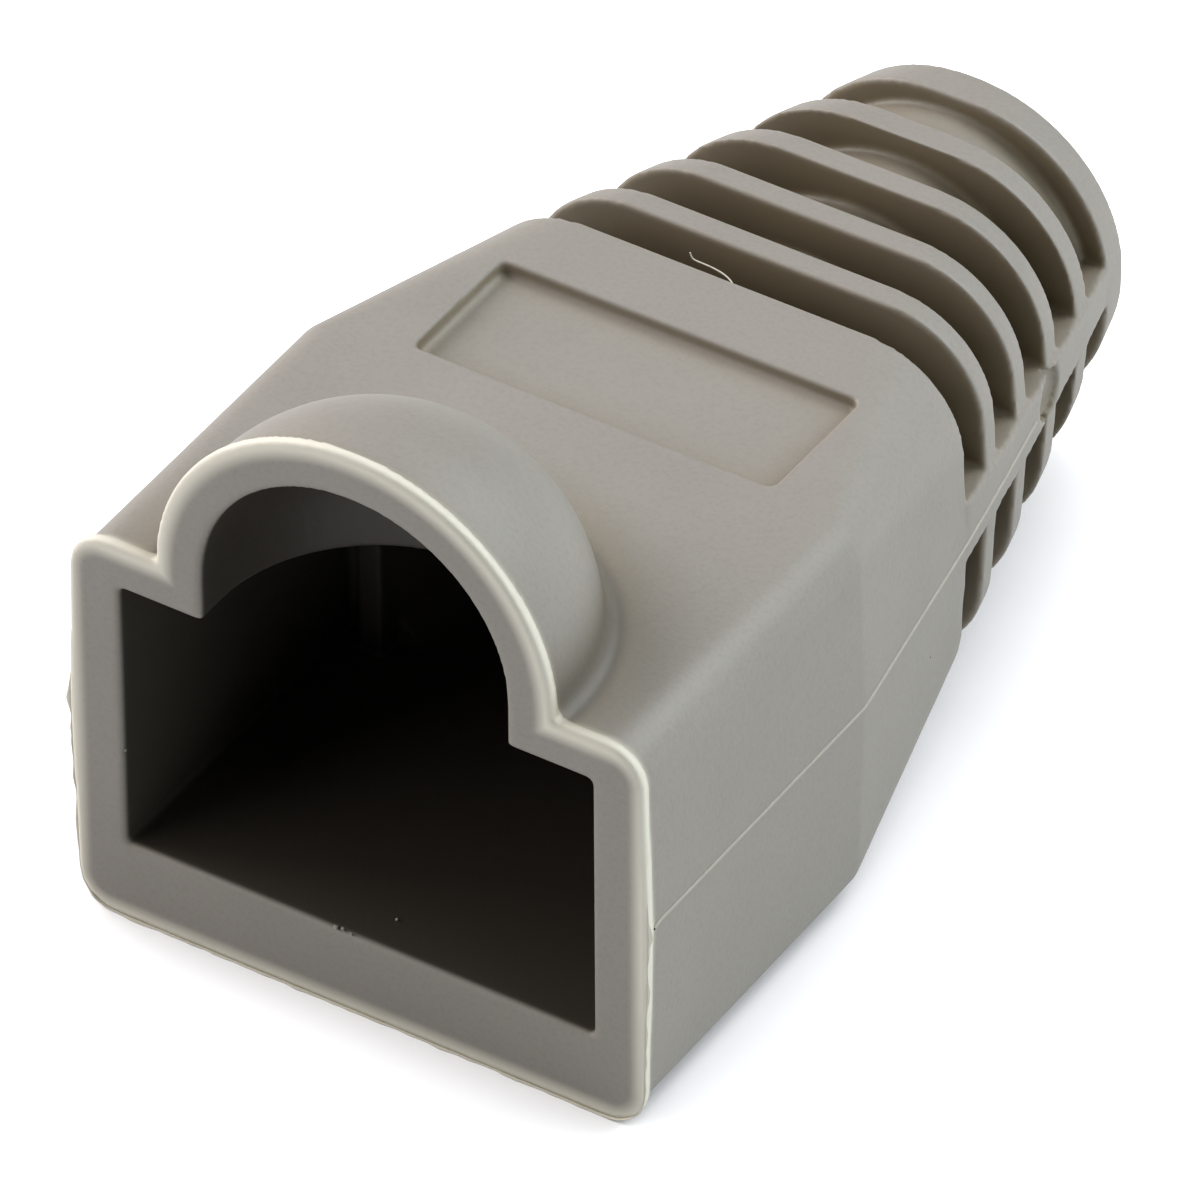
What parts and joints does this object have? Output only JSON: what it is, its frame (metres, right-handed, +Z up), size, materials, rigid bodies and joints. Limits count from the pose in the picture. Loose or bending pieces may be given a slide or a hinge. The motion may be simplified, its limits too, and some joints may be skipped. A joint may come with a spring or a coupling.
{
  "type": "modular plug strain relief boot",
  "caption": "Soft moulded boot for a modular network plug: square mouth with a half-round latch arch and dome, blank label recess, and a tapering slotted tail with a cable bore.",
  "frame": {"origin": "bottom centre of the bounding box, under the middle of the part", "axes": "+X across the mouth to the right, +Y from the mouth towards the cable end, +Z up through the latch arch"},
  "size_m": [0.0144, 0.0248, 0.015],
  "materials": {
    "boot_pvc": "satin soft PVC, warm grey"
  },
  "bodies": {
    "root": {"boot": "boot_pvc"}
  },
  "joints": []
}
